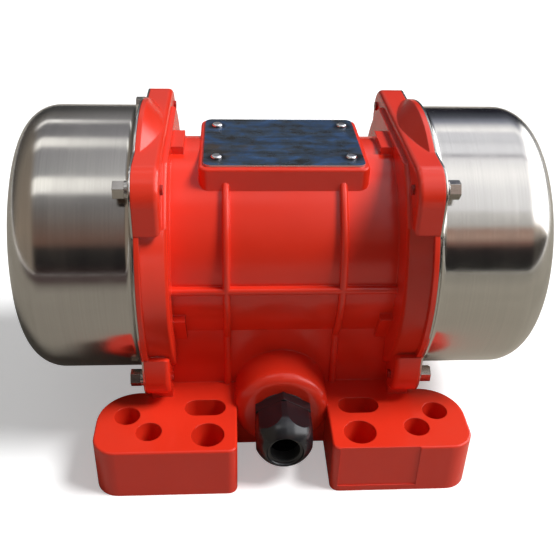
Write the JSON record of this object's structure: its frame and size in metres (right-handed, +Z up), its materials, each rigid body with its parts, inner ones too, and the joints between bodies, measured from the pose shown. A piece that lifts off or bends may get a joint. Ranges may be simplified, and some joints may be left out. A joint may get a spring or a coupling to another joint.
{
  "type": "vibration motor",
  "caption": "Foot-mounted vibration motor: ribbed cast housing with drilled feet, eccentric weights on a through shaft under drawn steel end covers, and a side cable gland.",
  "frame": {"origin": "centre of the bounding box's bottom face, on the plane of the feet, midway between the covers and between the feet", "axes": "+X along the shaft towards the right cover, -Y towards the cable gland, +Z up through the nameplate"},
  "size_m": [0.222, 0.16, 0.1435],
  "materials": {
    "red_paint": "glossy vermilion enamel on a casting",
    "stainless_cover": "drawn stainless steel, brushed round and polished",
    "cover_screw": "bright plated steel",
    "washer": "bright plated steel",
    "seal_rubber": "matt black rubber",
    "cast_aluminium": "cast and turned",
    "black_screw": "blackened steel",
    "bearing_steel": "ground bright",
    "turned_steel": "turned",
    "weight_steel": "flame-cut plate, oiled",
    "plate_metal": "dark blue-grey print on metal",
    "rivet_metal": "bright domed rivet",
    "gland_plastic": "black nylon",
    "yoke_steel": "phosphated steel",
    "magnet": "sintered ferrite",
    "holder_plastic": "brown moulded phenolic",
    "carbon": "pressed carbon",
    "spring_steel": "blued spring steel",
    "lamination": "stacked laminations",
    "copper_wire": "enamelled copper wire",
    "copper_bar": "bare copper bars"
  },
  "bodies": {
    "motor_housing": {"brush_holder": "holder_plastic", "brush_springs": "spring_steel", "brushes": "carbon", "field_magnets": "magnet", "gland_body": "gland_plastic", "gland_nut": "gland_plastic", "gland_seal": "seal_rubber", "gland_washer": "seal_rubber", "housing": "red_paint", "left_bearing_flange": "cast_aluminium", "left_bearing_outer_ring": "bearing_steel", "left_bearing_shields": "bearing_steel", "left_cover": "stainless_cover", "left_cover_screws": "cover_screw", "left_cover_seal": "seal_rubber", "left_flange_screws": "black_screw", "left_flat_washers": "washer", "left_spring_washers": "washer", "nameplate": "plate_metal", "nameplate_rivets": "rivet_metal", "right_bearing_flange": "cast_aluminium", "right_bearing_outer_ring": "bearing_steel", "right_bearing_shields": "bearing_steel", "right_cover": "stainless_cover", "right_cover_screws": "cover_screw", "right_cover_seal": "seal_rubber", "right_flange_screws": "black_screw", "right_flat_washers": "washer", "right_spring_washers": "washer", "stator_yoke": "yoke_steel"},
    "rotor": {"shaft": "turned_steel", "armature_core": "lamination", "armature_windings": "copper_wire", "commutator": "copper_bar", "weight_keys": "turned_steel", "shaft_circlips": "spring_steel", "left_bearing_inner_ring": "bearing_steel", "left_weight_spacer": "turned_steel", "left_fixed_weight": "weight_steel", "right_bearing_inner_ring": "bearing_steel", "right_weight_spacer": "turned_steel", "right_fixed_weight": "weight_steel"},
    "left_adjustable": {"left_adjustable_weight": "weight_steel", "left_clamp_bolt": "black_screw"},
    "right_adjustable": {"right_adjustable_weight": "weight_steel", "right_clamp_bolt": "black_screw"}
  },
  "joints": [
    {"name": "rotor_spin", "type": "hinge", "parent": "motor_housing", "child": "rotor", "pos_m": [0, 0, 0.082], "axis": [1, 0, 0], "continuous": true},
    {"name": "left_weight_setting", "type": "hinge", "parent": "rotor", "child": "left_adjustable", "pos_m": [-0.0836, 0, 0.082], "axis": [-1, 0, 0], "range_deg": [0, 180]},
    {"name": "right_weight_setting", "type": "hinge", "parent": "rotor", "child": "right_adjustable", "pos_m": [0.0836, 0, 0.082], "axis": [1, 0, 0], "range_deg": [0, 180]}
  ]
}
